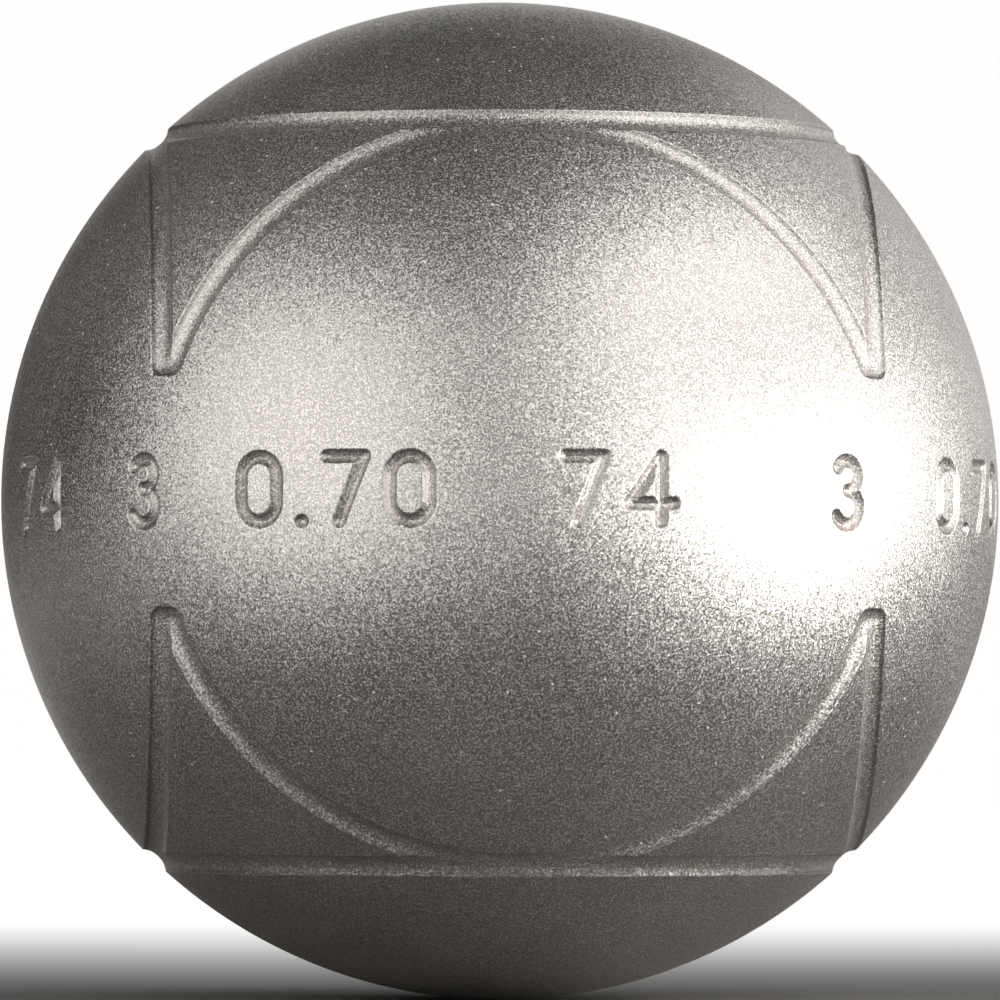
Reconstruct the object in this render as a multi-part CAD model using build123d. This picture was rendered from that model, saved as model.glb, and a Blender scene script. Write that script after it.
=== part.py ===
"""A steel petanque boule: two half shells closed by a root weld run and a cap weld run.

The origin is the centre of the ball. The weld plane is z = 0 and +Z is the pole axis.
Six round-bottomed striations are cut in the outside, one about each of +X, -X, +Y, -Y, +Z and -Z.
Lengths are in millimetres and angles in degrees.
"""

import os
from math import asin, cos, degrees, radians, sin, sqrt, tan

from build123d import *

# Ball
ball_diameter = 74.0
wall_thickness = 6.15

# Striations: a round-nosed tool follows a circle on the sphere
groove_tool_radius = 1.5
groove_depth = 0.43
side_ring_angle = 46.04  # from the ring's own axis to its groove, seen from the centre
pole_ring_angle = 43.56
marking_band_height = 16.4  # clear of grooves about the equator, where a boule carries its markings

# Weld between the half shells
root_gap = 1.6
root_face = 1.2  # square part of each rim, next to the cavity
bevel_angle = 30.0  # of each rim, from the weld plane
root_run_height = 1.4  # of the root run above the root faces, at its edges
root_run_hollow = 0.35  # how far the middle of the root run's top is below its edges
bead_half_width = 1.9  # of the root bead inside the cavity
bead_height = 0.8

ball_radius = ball_diameter / 2
cavity_radius = ball_radius - wall_thickness
half_gap = root_gap / 2
bevel_slope = tan(radians(bevel_angle))
bevel_start = cavity_radius + root_face

# Where the bevel line z = half_gap + (r - bevel_start) * bevel_slope leaves the sphere
line_offset = half_gap - bevel_start * bevel_slope
square = 1 + bevel_slope**2
bevel_end = (sqrt(ball_radius**2 * square - line_offset**2) - line_offset * bevel_slope) / square
cap_half_width = line_offset + bevel_end * bevel_slope

root_top = bevel_start + root_run_height
root_top_half_width = half_gap + root_run_height * bevel_slope

tool_orbit = ball_radius - groove_depth + groove_tool_radius
groove_half_width = sqrt(groove_tool_radius**2 - (groove_tool_radius - groove_depth) ** 2)


def at(r, z):
    """A point of a section through the pole axis."""
    return Vector(r, 0, z)


def on_sphere(radius, z):
    return at(sqrt(radius**2 - z**2), z)


def arc_on_sphere(radius, z_from, z_to):
    return ThreePointArc(
        on_sphere(radius, z_from),
        on_sphere(radius, (z_from + z_to) / 2),
        on_sphere(radius, z_to),
    )


def turned(*edges):
    """The solid that a closed section sweeps about the pole axis."""
    return revolve(Face(Wire(edges)), Axis.Z, 360)


def cup():
    rim_inner = on_sphere(cavity_radius, half_gap)
    rim_corner = at(bevel_start, half_gap)
    return turned(
        Line(rim_inner, rim_corner),
        Line(rim_corner, on_sphere(ball_radius, cap_half_width)),
        arc_on_sphere(ball_radius, cap_half_width, ball_radius),
        Line(at(0, ball_radius), at(0, cavity_radius)),
        arc_on_sphere(cavity_radius, cavity_radius, half_gap),
    )


def tool_centre(angle):
    return at(tool_orbit * sin(radians(angle)), tool_orbit * cos(radians(angle)))


def tool_section(angle):
    return Plane(tool_centre(angle), x_dir=(1, 0, 0), z_dir=(0, -1, 0)) * Circle(groove_tool_radius)


def pole_groove():
    return revolve(tool_section(pole_ring_angle), Axis.Z, 360)


def side_groove():
    """The upper arc of the front ring, with the round ends that the tool leaves."""
    centre = tool_centre(side_ring_angle)
    stop_height = marking_band_height / 2 + groove_half_width
    stop = degrees(asin(stop_height / (ball_radius * sin(radians(side_ring_angle)))))
    sweep_angle = 180 - 2 * stop
    half_ball = Sphere(groove_tool_radius, arc_size3=180)
    tube = revolve(tool_section(side_ring_angle), Axis.Z, sweep_angle)
    near_end = Pos(centre) * Rot(Z=180) * half_ball
    far_end = Rot(Z=sweep_angle) * Pos(centre) * half_ball
    return Rot(X=90) * Rot(Z=stop) * (tube + near_end + far_end)


def upper_shell():
    shell = cup() - pole_groove()
    arc = side_groove()
    for quarter in range(4):
        shell = shell - Rot(Z=90 * quarter) * arc
    return shell


def root_run():
    bead_edge = on_sphere(cavity_radius, bead_half_width)
    low_bead_edge = at(bead_edge.X, -bead_edge.Z)
    rim_inner = on_sphere(cavity_radius, half_gap)
    top_edge = at(root_top, root_top_half_width)
    low_top_edge = at(root_top, -root_top_half_width)
    return turned(
        ThreePointArc(low_bead_edge, at(cavity_radius - bead_height, 0), bead_edge),
        arc_on_sphere(cavity_radius, bead_half_width, half_gap),
        Line(rim_inner, at(bevel_start, half_gap)),
        Line(at(bevel_start, half_gap), top_edge),
        ThreePointArc(top_edge, at(root_top - root_run_hollow, 0), low_top_edge),
        Line(low_top_edge, at(bevel_start, -half_gap)),
        Line(at(bevel_start, -half_gap), at(rim_inner.X, -half_gap)),
        arc_on_sphere(cavity_radius, -half_gap, -bead_half_width),
    )


def cap_run():
    top_edge = at(root_top, root_top_half_width)
    low_top_edge = at(root_top, -root_top_half_width)
    surface_edge = on_sphere(ball_radius, cap_half_width)
    low_surface_edge = at(surface_edge.X, -surface_edge.Z)
    return turned(
        ThreePointArc(low_top_edge, at(root_top - root_run_hollow, 0), top_edge),
        Line(top_edge, surface_edge),
        arc_on_sphere(ball_radius, cap_half_width, 0),
        arc_on_sphere(ball_radius, 0, -cap_half_width),
        Line(low_surface_edge, low_top_edge),
    )


upper = upper_shell()
pieces = {
    "upper_half_shell": upper,
    "lower_half_shell": mirror(upper, Plane.XY),
    "root_weld_run": root_run(),
    "cap_weld_run": cap_run(),
}

os.makedirs("parts", exist_ok=True)
for name, piece in pieces.items():
    export_step(piece, f"parts/{name}.step")
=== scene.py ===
"""A petanque boule of blasted steel, two grooved half shells and the weld between them, on a pale floor."""

from math import asin, ceil, cos, pi, radians, sin, sqrt, tan

import bpy
import numpy as np
from mathutils import Matrix, Vector
from mathutils.geometry import delaunay_2d_cdt


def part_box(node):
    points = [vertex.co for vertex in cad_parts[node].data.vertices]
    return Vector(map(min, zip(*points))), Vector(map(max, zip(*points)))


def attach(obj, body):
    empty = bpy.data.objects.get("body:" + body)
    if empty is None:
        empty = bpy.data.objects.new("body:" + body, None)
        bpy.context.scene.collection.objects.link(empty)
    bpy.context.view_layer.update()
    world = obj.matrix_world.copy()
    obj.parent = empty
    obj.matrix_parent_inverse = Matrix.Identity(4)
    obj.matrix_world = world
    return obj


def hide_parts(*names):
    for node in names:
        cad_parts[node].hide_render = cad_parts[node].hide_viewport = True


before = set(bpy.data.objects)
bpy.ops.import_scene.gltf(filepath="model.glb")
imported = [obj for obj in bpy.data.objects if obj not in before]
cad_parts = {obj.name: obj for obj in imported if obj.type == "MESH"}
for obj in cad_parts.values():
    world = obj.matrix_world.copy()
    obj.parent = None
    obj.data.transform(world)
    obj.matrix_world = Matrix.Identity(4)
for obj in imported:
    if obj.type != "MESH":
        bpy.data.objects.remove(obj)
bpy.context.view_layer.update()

# Sizes of the solids, in metres. Those that the frame doesn't hold repeat the part's own values.
ball_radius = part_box("cap_weld_run")[1][0]
rim_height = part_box("upper_half_shell")[0][2]
cap_half_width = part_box("cap_weld_run")[1][2]
cavity_radius = ball_radius - 0.00615
bevel_start = cavity_radius + 0.0012
root_run_height = 0.0014
root_top = bevel_start + root_run_height
root_top_half_width = rim_height + root_run_height * tan(radians(30))
root_top_hollow = 0.00035

groove_tool_radius = 0.0015
groove_depth = 0.00043
groove_half_width = sqrt(groove_tool_radius**2 - (groove_tool_radius - groove_depth) ** 2)
tool_orbit = ball_radius - groove_depth + groove_tool_radius
side_ring_angle = radians(46.04)
pole_ring_angle = radians(43.56)
stop_height = 0.0164 / 2 + groove_half_width

# Stamped numerals, by their turn from the front in degrees: the mass in kilograms, the diameter in
# millimetres and the number in a set
numeral_height = 0.0046
numeral_gap = 0.0019
stamp_half_width = 0.00054
stamp_depth = 0.00038
marks = {-68: "74", -47: "3", -22: "0.70", 10: "74", 39: "3", 67: "0.70"}

# How far blasting has rounded the lips of the cuts and the ridges between them
groove_softness = 0.00006
stamp_softness = 0.00004

# Mesh: lines along a cut at these distances from its middle, then an even spread of points
groove_levels = [
    0, 0.0003, 0.00057, 0.00078, 0.00091, 0.00099, 0.00103, 0.00106, 0.0011, 0.0012, 0.0015, 0.002,
]
groove_spacing = 0.00025
stamp_levels = [0, 0.0002, 0.0004, 0.0005, 0.00054, 0.00058, 0.00068, 0.0009]
stamp_spacing = 0.00014
open_spacing = 0.00085
open_margin = 0.6 * open_spacing
rim_points = 360
cavity_rows = 14
merge_distance = 1e-5
tie_margin = 2e-6
tolerance = 1e-6
sharp_angle = radians(50)

up = np.array((0.0, 0.0, 1.0))


def unit(vectors):
    return vectors / np.linalg.norm(vectors, axis=-1, keepdims=True)


def soft_max(a, b, softness):
    """The larger of two values, rounded off where they are within softness of each other."""
    return np.maximum(a, b) + np.maximum(softness - np.abs(a - b), 0) ** 2 / (4 * softness)


def half_circle(end, outward, ahead, reach, spacing):
    """The round end that a tool leaves past the end of its way, from one side to the other."""
    count = max(ceil(pi * reach / spacing), 4)
    swing = np.linspace(0, pi, count + 1)[1:-1, None]
    ahead = unit(ahead - end * (ahead @ end))
    return unit(end + reach / ball_radius * (outward * np.cos(swing) + ahead * np.sin(swing)))


class RoundCut:
    """A cut along a circle on the ball, whole or between two turns. Points are unit vectors."""

    def __init__(self, axis, across, angle, turns=(0, 2 * pi)):
        self.axis = np.array(axis, float)
        self.across = unit(np.array(across, float))
        self.along = np.cross(self.axis, self.across)
        self.angle = angle
        self.turns = turns
        self.whole = turns[1] - turns[0] > 2 * pi - tolerance
        self.ends = [self.point(turn, angle) for turn in turns]

    def point(self, turn, angle):
        turn = np.asarray(turn)[..., None]
        spoke = self.across * np.cos(turn) + self.along * np.sin(turn)
        return self.axis * np.cos(angle) + spoke * np.sin(angle)

    def arc(self, angle, spacing):
        first, last = self.turns
        count = max(ceil((last - first) * abs(sin(angle)) * ball_radius / spacing), 3)
        return self.point(np.linspace(first, last, count + 1), angle)

    def lines(self, level, spacing):
        """The lines at a distance from the cut's middle, round its ends too."""
        if level == 0:
            return [self.arc(self.angle, spacing)]
        outer = self.arc(self.angle + level / ball_radius, spacing)
        inner = self.arc(self.angle - level / ball_radius, spacing)
        if self.whole:
            return [outer, inner]
        outward = [self.point(turn, self.angle + pi / 2) for turn in self.turns]
        back = np.cross(outward[0], self.ends[0])
        ahead = np.cross(self.ends[1], outward[1])
        far_end = half_circle(self.ends[1], outward[1], ahead, level, spacing)
        near_end = half_circle(self.ends[0], outward[0], back, level, spacing)
        return [np.vstack([outer, far_end, inner[::-1], near_end[::-1], outer[:1]])]

    def distance(self, points):
        away = np.abs(np.arccos(np.clip(points @ self.axis, -1, 1)) - self.angle) * ball_radius
        if self.whole:
            return away
        first, last = self.turns
        turn = np.arctan2(points @ self.along, points @ self.across)
        turn = first + np.mod(turn - first, 2 * pi)
        past = [np.linalg.norm(points - end, axis=-1) * ball_radius for end in self.ends]
        return np.where(turn <= last, away, np.minimum(*past))


class StraightCut:
    """A short cut between two points of the ball."""

    def __init__(self, start, finish):
        self.start = start
        self.finish = finish
        self.ahead = unit(finish - start)
        self.aside = unit(np.cross(self.ahead, start + finish))
        self.length = np.linalg.norm(finish - start)

    def lines(self, level, spacing):
        count = max(ceil(self.length * ball_radius / spacing), 1)
        middle = self.start + self.ahead * np.linspace(0, self.length, count + 1)[:, None]
        if level == 0:
            return [unit(middle)]
        right = unit(middle + level / ball_radius * self.aside)
        left = unit(middle - level / ball_radius * self.aside)
        far_end = half_circle(self.finish, self.aside, self.ahead, level, spacing)
        near_end = half_circle(self.start, self.aside, -self.ahead, level, spacing)
        return [np.vstack([right, far_end, left[::-1], near_end[::-1], right[:1]])]

    def distance(self, points):
        reach = np.clip((points - self.start) @ self.ahead, 0, self.length)[..., None]
        return np.linalg.norm(points - self.start - reach * self.ahead, axis=-1) * ball_radius


def upper_grooves():
    """The cuts of the upper half: the pole ring, and four side rings with the links between their ends."""
    stop = asin(stop_height / (ball_radius * sin(side_ring_angle)))
    sides = []
    for turn in np.arange(4) * pi / 2:
        axis = np.array((sin(turn), -cos(turn), 0))
        sides.append(RoundCut(axis, np.cross(up, axis), side_ring_angle, (stop, pi - stop)))
    groups = [[RoundCut(up, (1, 0, 0), pole_ring_angle)]]
    for here, there in zip(sides, sides[1:] + sides[:1]):
        groups.append([here, StraightCut(here.ends[0], there.ends[1])])
    return groups


def groove_section(away):
    """Depth of the round tool's cut below the sphere, negative outside the groove."""
    angle = away / ball_radius
    reach = np.sqrt(np.maximum(groove_tool_radius**2 - (tool_orbit * np.sin(angle)) ** 2, 0))
    return np.where(reach > 0, ball_radius - tool_orbit * np.cos(angle) + reach, -groove_depth)


def spot(x, z):
    """The point of the ball at a distance to the right of its front and above its middle."""
    turn, rise = x / ball_radius, z / ball_radius
    return np.array((sin(turn) * cos(rise), -cos(turn) * cos(rise), sin(rise)))


def numeral_line(left, start, finish):
    places = [(left + x * numeral_height, (y - 0.5) * numeral_height) for x, y in (start, finish)]
    return StraightCut(spot(*places[0]), spot(*places[1]))


def numeral_arc(left, centre, radius, first, last):
    x = left + centre[0] * numeral_height
    z = (centre[1] - 0.5) * numeral_height
    middle = spot(x, z)
    right = np.cross(up, middle)
    return RoundCut(middle, right, radius * numeral_height / ball_radius, (radians(first), radians(last)))


# Each numeral's strokes, as shares of its height: lines by their ends, arcs by centre, radius and degrees
numeral_strokes = {
    "0": [
        ((0, 0.31), (0, 0.69)),
        ((0.31, 0.69), 0.31, 0, 180),
        ((0.62, 0.69), (0.62, 0.31)),
        ((0.31, 0.31), 0.31, 180, 360),
    ],
    "3": [((0.26, 0.765), 0.235, -90, 150), ((0.26, 0.265), 0.265, -150, 90)],
    "4": [((0.5, 1), (0, 0.28)), ((0, 0.28), (0.7, 0.28)), ((0.5, 1), (0.5, 0))],
    "7": [((0, 1), (0.6, 1)), ((0.6, 1), (0.2, 0))],
    ".": [((0, 0), (0.02, 0))],
}
numeral_widths = {"0": 0.62, "3": 0.53, "4": 0.7, "7": 0.6, ".": 0.02}


def mark_cuts(text, turn):
    """The strokes of one row of numerals, centred at a turn from the front of the ball."""
    width = sum(numeral_widths[sign] * numeral_height for sign in text) + numeral_gap * (len(text) - 1)
    left = radians(turn) * ball_radius - width / 2
    cuts = []
    for sign in text:
        for stroke in numeral_strokes[sign]:
            make = numeral_line if len(stroke) == 2 else numeral_arc
            cuts.append(make(left, *stroke))
        left += numeral_widths[sign] * numeral_height + numeral_gap
    return cuts


def stamp_section(away):
    """Depth of the stamp's V below the sphere, negative outside it."""
    return (stamp_half_width - away) * stamp_depth / stamp_half_width


def nearest(cuts, points):
    return np.min([cut.distance(points) for cut in cuts], axis=0)


def cut_depth(points, groups, section, softness):
    """Depth below the ball. Cuts of one group run into each other, and groups leave soft ridges."""
    depth = section(nearest(groups[0], points))
    for cuts in groups[1:]:
        depth = soft_max(depth, section(nearest(cuts, points)), softness)
    return soft_max(depth, 0, softness)


def lay_line(line, room):
    """The points and edges of a line where it has room, ended where the room runs out."""
    has_room = room >= 0
    number = np.cumsum(has_room) - 1
    both = has_room[:-1] & has_room[1:]
    one = has_room[:-1] != has_room[1:]
    share = room[:-1][one] / (room[:-1][one] - room[1:][one])
    crossing = unit(line[:-1][one] + share[:, None] * (line[1:][one] - line[:-1][one]))
    inner = np.flatnonzero(one) + np.where(has_room[:-1][one], 0, 1)
    ends = has_room.sum() + np.arange(one.sum())
    run = np.column_stack([number[:-1][both], number[1:][both]])
    last = np.column_stack([number[inner], ends])
    return np.vstack([line[has_room], crossing]), np.vstack([run, last])


def lay_cuts(cuts, levels, spacing):
    """Points and edges of the lines along every cut, kept where no other cut is nearer."""
    points, edges, count = [], [], 0
    for level in levels:
        for place, cut in enumerate(cuts):
            for line in cut.lines(level, max(spacing, level / 3)):
                room = np.full(len(line), np.inf)
                if cuts[:place]:
                    room = nearest(cuts[:place], line) - level - tie_margin
                if cuts[place + 1:]:
                    room = np.minimum(room, nearest(cuts[place + 1:], line) - level + tie_margin)
                laid, joined = lay_line(line, np.minimum(room, ball_radius))
                points.append(laid)
                edges.append(joined + count)
                count += len(laid)
    return np.vstack(points), np.vstack(edges)


def even_points(spacing):
    """Unit vectors spread evenly over a sphere along a golden spiral."""
    count = int(4 * pi * ball_radius**2 / (spacing**2 * sqrt(0.75)))
    step = np.arange(count) + 0.5
    height = 1 - 2 * step / count
    turn = step * pi * (3 - sqrt(5))
    radius = np.sqrt(1 - height**2)
    return np.column_stack([radius * np.cos(turn), radius * np.sin(turn), height])


def ring(radius, height):
    turn = np.arange(rim_points) * 2 * pi / rim_points
    return np.column_stack([radius * np.cos(turn), radius * np.sin(turn), np.full(rim_points, height)])


def triangulate(points, edges):
    """Triangles between points of the ball that keep the given edges, in a chart from the lower pole."""
    chart = points[:, :2] / (1 + points[:, 2:])
    places = [Vector(place) for place in chart]
    made = delaunay_2d_cdt(places, edges.tolist(), [], 0, merge_distance / ball_radius)
    flat = np.array([tuple(place) for place in made[0]])
    square = (flat**2).sum(axis=1, keepdims=True)
    return np.hstack([2 * flat, 1 - square]) / (1 + square), np.array(made[2])


class Skin:
    """A mesh that starts as a stretch of the ball's surface between two heights, with cuts in it."""

    def __init__(self, groups, section, softness, levels, spacing, low, high=None):
        cuts = [cut for group in groups for cut in group]
        rims = [height / ball_radius for height in (low, high) if height is not None]
        points, edges = lay_cuts(cuts, levels, spacing)
        rings = [ring(sqrt(1 - height**2), height) for height in rims]
        loop = np.arange(rim_points)
        for place, rim in enumerate(rings):
            start = len(points) + place * rim_points
            edges = np.vstack([edges, start + np.column_stack([loop, np.roll(loop, -1)])])
        spread = even_points(open_spacing)
        inside = spread[:, 2] > rims[0] + open_margin / ball_radius
        if high is not None:
            inside &= spread[:, 2] < rims[1] - open_margin / ball_radius
        spread = spread[inside]
        spread = spread[nearest(cuts, spread) > levels[-1] + open_margin]
        directions, triangles = triangulate(np.vstack([points, *rings, spread]), edges)
        if high is not None:
            triangles = triangles[(directions[triangles, 2] < rims[1] - tolerance).any(axis=1)]
        self.depth = cut_depth(directions, groups, section, softness)
        self.points = [directions * (ball_radius - self.depth)[:, None]]
        self.count = len(directions)
        self.faces = triangles.tolist()
        self.outside = len(triangles)
        self.rims = [self.rim(directions, height) for height in rims]

    def rim(self, directions, height):
        """The numbers of a rim's points, in the order of a ring's."""
        places = np.flatnonzero(np.abs(directions[:, 2] - height) < tolerance)
        turn = np.arctan2(directions[places, 1], directions[places, 0])
        return places[np.argsort(np.mod(turn + pi / rim_points, 2 * pi))]

    def add(self, points):
        self.points.append(points)
        self.count += len(points)
        return np.arange(self.count - len(points), self.count)

    def join(self, first, second):
        quads = np.column_stack([np.roll(first, -1), first, second, np.roll(second, -1)])
        self.faces += quads.tolist()

    def close(self, ring, pole):
        tip = self.add(np.array([pole]))
        self.faces += [[after, before, tip[0]] for before, after in zip(ring, np.roll(ring, -1))]

    def piece(self, name, material, mirrored=False):
        points = np.vstack(self.points)
        faces = self.faces
        if mirrored:
            points = points * (1, 1, -1)
            faces = [face[::-1] for face in faces]
        mesh = bpy.data.meshes.new(name)
        mesh.from_pydata(points.tolist(), [], faces)
        mesh.materials.append(material)
        depth = mesh.attributes.new("cut_depth", "FLOAT", "POINT")
        depth.data.foreach_set("value", np.append(self.depth, np.zeros(len(points) - len(self.depth))))
        mesh.shade_smooth()
        mesh.set_sharp_from_angle(angle=sharp_angle)
        self.square_rims(mesh, points)
        made = bpy.data.objects.new(name, mesh)
        bpy.context.collection.objects.link(made)
        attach(made, "root")
        return made

    def square_rims(self, mesh, points):
        """Turns the normals along the rims straight out, so that the flush joint doesn't show."""
        corners = len(mesh.loops)
        normals = np.empty(corners * 3, np.float32)
        mesh.corner_normals.foreach_get("vector", normals)
        places = np.empty(corners, np.int32)
        mesh.loops.foreach_get("vertex_index", places)
        normals = normals.reshape(-1, 3)
        square = (np.arange(corners) < 3 * self.outside) & np.isin(places, np.concatenate(self.rims))
        normals[square] = unit(points[places[square]])
        mesh.normals_split_custom_set(normals.tolist())


def half_shell():
    """The upper half shell: its grooved outside, bevelled rim and cavity wall."""
    skin = Skin(
        upper_grooves(), groove_section, groove_softness, groove_levels, groove_spacing, cap_half_width
    )
    last = skin.rims[0]
    profile = [(bevel_start, rim_height)]
    for rise in np.linspace(asin(rim_height / cavity_radius), pi / 2, cavity_rows + 1)[:-1]:
        profile.append((cavity_radius * cos(rise), cavity_radius * sin(rise)))
    for radius, height in profile:
        row = skin.add(ring(radius, height))
        skin.join(last, row)
        last = row
    skin.close(last, (0, 0, cavity_radius))
    return skin


def cap_run():
    """The weld's cap run: its stamped outside, flush with the ball, and the V that it fills."""
    strokes = [cut for turn, text in marks.items() for cut in mark_cuts(text, turn)]
    skin = Skin(
        [strokes], stamp_section, stamp_softness, stamp_levels, stamp_spacing, -cap_half_width, cap_half_width
    )
    low, high = skin.rims
    profile = [
        (root_top, -root_top_half_width),
        (root_top - root_top_hollow, 0),
        (root_top, root_top_half_width),
    ]
    last = low
    for radius, height in profile:
        row = skin.add(ring(radius, height))
        skin.join(last, row)
        last = row
    skin.join(last, high)
    return skin


class Shade:
    """A socket of a material. Arithmetic on it adds Math nodes, and node() adds any other node."""

    def __init__(self, tree, socket=None):
        self.tree = tree
        self.socket = socket

    def node(self, kind, settings, inputs, output=0):
        made = self.tree.nodes.new("ShaderNode" + kind)
        for name, value in settings.items():
            setattr(made, name, value)
        for name, value in inputs.items():
            if isinstance(value, Shade):
                self.tree.links.new(value.socket, made.inputs[name])
            else:
                made.inputs[name].default_value = value
        return Shade(self.tree, made.outputs[output])

    def math(self, operation, first, second):
        return self.node("Math", {"operation": operation}, {0: first, 1: second})

    def __add__(self, other):
        return self.math("ADD", self, other)

    __radd__ = __add__

    def __sub__(self, other):
        return self.math("SUBTRACT", self, other)

    def __rsub__(self, other):
        return self.math("SUBTRACT", other, self)

    def __mul__(self, other):
        return self.math("MULTIPLY", self, other)

    __rmul__ = __mul__

    def vector(self, operation, *others):
        return self.node("VectorMath", {"operation": operation}, dict(enumerate([self, *others])))

    def beside(self, output):
        """Another output of the same node."""
        return Shade(self.tree, self.socket.node.outputs[output])

    def noise(self, place, scale, detail):
        return self.node("TexNoise", {}, {"Vector": place, "Scale": scale, "Detail": detail})

    def cells(self, place, scale):
        return self.node("TexVoronoi", {}, {"Vector": place, "Scale": scale})

    def step(self, low, high):
        """0 below low and 1 above high, with a smooth rise between them."""
        settings = {"interpolation_type": "SMOOTHSTEP"}
        return self.node("MapRange", settings, {"Value": self, "From Min": low, "From Max": high})

    def mix(self, first, second):
        """A colour that goes from the first to the second as this value goes from 0 to 1."""
        return self.node("Mix", {"data_type": "RGBA"}, {0: self, 6: first, 7: second}, 2)


def new_steel(name):
    """A metal material, its shader node and its nodes' start."""
    material = bpy.data.materials.new(name)
    material.use_nodes = True
    shader = material.node_tree.nodes["Principled BSDF"]
    shader.inputs["Metallic"].default_value = 1
    return material, shader, Shade(material.node_tree)


def feed(shader, **values):
    for name, value in values.items():
        socket = shader.inputs[name.replace("_", " ")]
        value.tree.links.new(value.socket, socket)


def blasted_steel():
    """Steel blasted to small facets, with pale flecks and grit marks, and painted shade on the steep walls
    just inside the cuts' lips.
    """
    dark_grey = (0.44, 0.412, 0.385, 1)
    pale_grey = (0.88, 0.833, 0.79, 1)
    # Dark colour of the painted shade on the steep walls just inside the cuts' lips
    painted_lip_shade = (0.13, 0.12, 0.11, 1)
    bright_mark = (0.95, 0.93, 0.9, 1)
    facet_tilt = 0.12
    material, shader, start = new_steel("blasted_steel_finish")
    place = start.node("TexCoord", {}, {}, "Object")
    cloud = start.noise(place, 90, 3)
    facet = start.cells(place, 9000).beside("Color")
    fleck = start.noise(place, 7600, 0).step(0.38, 0.74)
    mark = 1 - start.cells(place, 700).step(0.05, 0.1)
    depth = start.node("Attribute", {"attribute_name": "cut_depth"}, {}, "Fac")
    floor_of_cut = depth.step(0.00006, 0.0002)
    # Painted shade: the colour is darkened on the steep walls just inside the cuts' lips, where shade falls
    lip_shade_mask = depth.step(0.00001, 0.00005) * (1 - depth.step(0.00012, 0.00028))
    grey = (fleck + 0.3 * (cloud - 0.5)).mix(dark_grey, pale_grey)
    colour = (lip_shade_mask * 0.45).mix(grey, painted_lip_shade)
    colour = (mark * 0.9).mix(colour, bright_mark)
    rough = 0.35 + 0.15 * fleck + 0.1 * (cloud - 0.5) + 0.35 * mark + 0.05 * floor_of_cut
    tilt = facet.vector("MULTIPLY_ADD", (2 * facet_tilt,) * 3, (-facet_tilt,) * 3)
    outward = start.node("NewGeometry", {}, {}, "Normal")
    normal = outward.vector("ADD", tilt).vector("NORMALIZE")
    feed(shader, Base_Color=colour, Roughness=rough, Normal=normal)
    return material


def weld_steel():
    """The root run's metal: a scaly ripple along the bead, tinted by its heat."""
    dull_grey = (0.3, 0.27, 0.25, 1)
    straw_tint = (0.46, 0.41, 0.36, 1)
    ripple_height = 0.0001
    material, shader, start = new_steel("weld_steel_finish")
    place = start.node("TexCoord", {}, {}, "Object")
    scale = start.noise(place, 1600, 3)
    heat = start.noise(place, 140, 2)
    colour = heat.mix(dull_grey, straw_tint)
    rough = 0.42 + 0.3 * (scale - 0.5)
    bump = start.node("Bump", {}, {"Strength": 1, "Distance": ripple_height, "Height": scale + heat})
    feed(shader, Base_Color=colour, Roughness=rough, Normal=bump)
    return material


steel = blasted_steel()
root_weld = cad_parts["root_weld_run"]
root_weld.data.materials.clear()
root_weld.data.materials.append(weld_steel())

shell = half_shell()
upper_shell = shell.piece("upper_shell", steel)
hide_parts("upper_half_shell")
lower_shell = shell.piece("lower_shell", steel, mirrored=True)
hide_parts("lower_half_shell")
cap_weld = cap_run().piece("cap_weld", steel)
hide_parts("cap_weld_run")

# Camera: level with the ball, a little left of its front and just below its middle
camera_distance = 19.1 * ball_radius
camera_turn = radians(-3.3)
camera_rise = radians(-1.41)
camera_roll = radians(0.13)
picture_width = 1000
ball_radius_in_picture = 498.67
sensor_width = 36

camera_data = bpy.data.cameras.new("camera")
camera_data.sensor_width = sensor_width
focal_pixels = ball_radius_in_picture * sqrt((camera_distance / ball_radius) ** 2 - 1)
camera_data.lens = sensor_width * focal_pixels / picture_width
camera_data.shift_x = 0.00024
camera_data.shift_y = 0.00117
camera = bpy.data.objects.new("camera", camera_data)
backward = Vector((
    sin(camera_turn) * cos(camera_rise),
    -cos(camera_turn) * cos(camera_rise),
    sin(camera_rise),
))
camera.matrix_world = (
    Matrix.Translation(backward * camera_distance)
    @ backward.to_track_quat("Z", "Y").to_matrix().to_4x4()
    @ Matrix.Rotation(camera_roll, 4, "Z")
)
bpy.context.collection.objects.link(camera)
bpy.context.scene.camera = camera

bpy.context.scene.view_settings.view_transform = "Standard"


def softbox(name, turn, distance, width, low, high, power):
    """An upright soft panel that faces the ball, flagged off the floor so that the underside stays dark."""
    data = bpy.data.lights.new(name, "AREA")
    data.shape = "RECTANGLE"
    data.size = width
    data.size_y = high - low
    data.energy = power
    made = bpy.data.objects.new(name, data)
    away = Vector((sin(radians(turn)), -cos(radians(turn)), 0))
    centre = away * distance + Vector((0, 0, (low + high) / 2))
    made.matrix_world = Matrix.Translation(centre) @ away.to_track_quat("Z", "Y").to_matrix().to_4x4()
    made.visible_camera = False
    made.visible_diffuse = False
    bpy.context.collection.objects.link(made)


# Turn from the front in degrees, distance, width, low and high edges in metres, and power in watts
softbox("left_softbox", -49, 0.28, 0.4, -0.016, 0.26, 0.51)
softbox("right_softbox", 64, 0.28, 0.62, -0.036, 0.115, 0.84)
softbox("low_left_softbox", -46, 0.13, 0.1, -0.036, -0.004, 0.009)
softbox("low_right_softbox", 59, 0.13, 0.1, -0.036, -0.004, 0.046)
softbox("low_front_softbox", -20, 0.2, 0.14, -0.03, -0.004, 0.012)
softbox("high_softbox", 58, 0.42, 0.95, 0.26, 0.65, 2.65)
softbox("right_rim_softbox", 138, 0.42, 0.34, 0, 0.38, 0.25)
softbox("left_rim_softbox", -135, 0.42, 0.3, 0.05, 0.35, 0.02)

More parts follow.
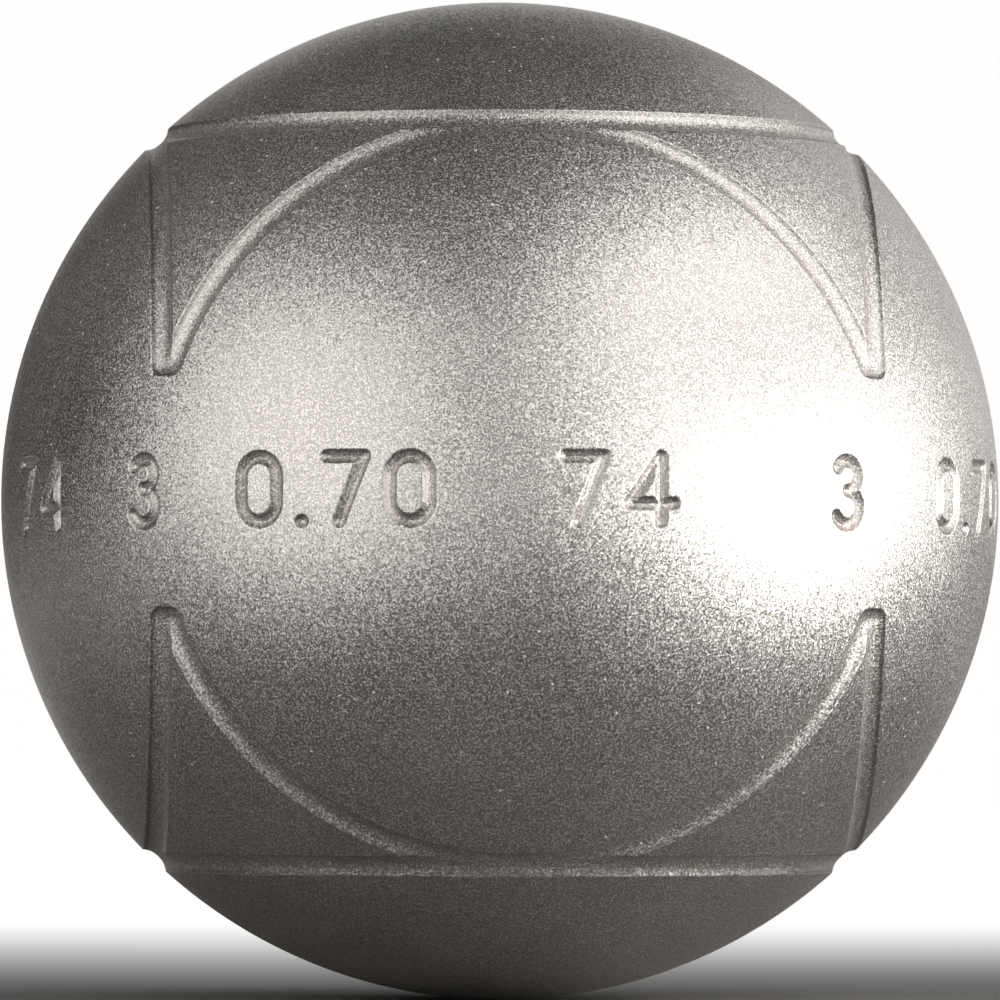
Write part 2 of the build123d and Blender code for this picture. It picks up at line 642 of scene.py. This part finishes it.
# Lights the floor from above, so that the ball casts its shadow there. The metal doesn't show it.
floor_lamp_data = bpy.data.lights.new("floor_lamp", "AREA")
floor_lamp_data.size = 0.6
floor_lamp_data.energy = 0.35
floor_lamp = bpy.data.objects.new("floor_lamp", floor_lamp_data)
floor_lamp.location = (0, 0, 0.8)
floor_lamp.visible_glossy = False
floor_lamp.visible_camera = False
bpy.context.collection.objects.link(floor_lamp)


def studio_world():
    """Dim light all round, brighter overhead."""
    dim = (0.016, 0.016, 0.016, 1)
    overhead = (0.1, 0.1, 0.1, 1)
    world = bpy.data.worlds.new("studio")
    world.use_nodes = True
    start = Shade(world.node_tree)
    direction = start.node("TexCoord", {}, {}, "Generated")
    height = start.node("SeparateXYZ", {}, {"Vector": direction}, "Z")
    feed(world.node_tree.nodes["Background"], Color=height.step(0.1, 0.9).mix(dim, overhead))
    return world


bpy.context.scene.world = studio_world()

# The pale floor, swept up into a backdrop far behind the ball
floor_front = -3
sweep_start = 1.9
sweep_radius = 0.4
sweep_rows = 12
sweep_top = 1.2
floor_half_width = 2.5
sweep = [(floor_front, -ball_radius), (sweep_start, -ball_radius)]
for turn in np.linspace(0, pi / 2, sweep_rows + 1)[1:]:
    sweep.append((sweep_start + sweep_radius * sin(turn), sweep_radius * (1 - cos(turn)) - ball_radius))
sweep.append((sweep_start + sweep_radius, sweep_top))
sweep_points = [(side * floor_half_width, y, z) for y, z in sweep for side in (-1, 1)]
sweep_faces = [(2 * row, 2 * row + 1, 2 * row + 3, 2 * row + 2) for row in range(len(sweep) - 1)]
floor_mesh = bpy.data.meshes.new("floor")
floor_mesh.from_pydata(sweep_points, [], sweep_faces)
floor_mesh.shade_smooth()
floor = bpy.data.objects.new("floor", floor_mesh)
bpy.context.collection.objects.link(floor)


def pale_paper():
    """Pale paper with a faint glow some way round the ball, and a white background behind it."""
    view_spread = 0.15
    faint_glow = 0.26
    black = (0, 0, 0, 1)
    white = (0.95, 0.95, 0.95, 1)
    material = bpy.data.materials.new("paper")
    material.use_nodes = True
    shader = material.node_tree.nodes["Principled BSDF"]
    shader.inputs["Base Color"].default_value = (0.7, 0.7, 0.69, 1)
    shader.inputs["Specular IOR Level"].default_value = 0
    shader.inputs["Emission Strength"].default_value = 1
    start = Shade(material.node_tree)
    place = start.node("TexCoord", {}, {}, "Object")
    side = start.node("SeparateXYZ", {}, {"Vector": place})
    behind = side.beside("Y")
    aside = side.math("ABSOLUTE", side, 0) - view_spread * behind
    background = behind.step(0, 0.32) * (1 - aside.step(0.03, 0.11))
    away = place.vector("DISTANCE", (0, 0, -ball_radius)).beside("Value")
    surround = faint_glow * away.step(0.05, 0.24) * (1 - away.step(0.4, 0.8))
    glow = background.math("MAXIMUM", background, surround)
    ray = start.node("LightPath", {}, {}, "Is Camera Ray")
    seen = ray + ray.beside("Is Glossy Ray") + ray.beside("Is Transmission Ray")
    feed(shader, Emission_Color=(glow * seen).mix(black, white))
    return material


floor_mesh.materials.append(pale_paper())
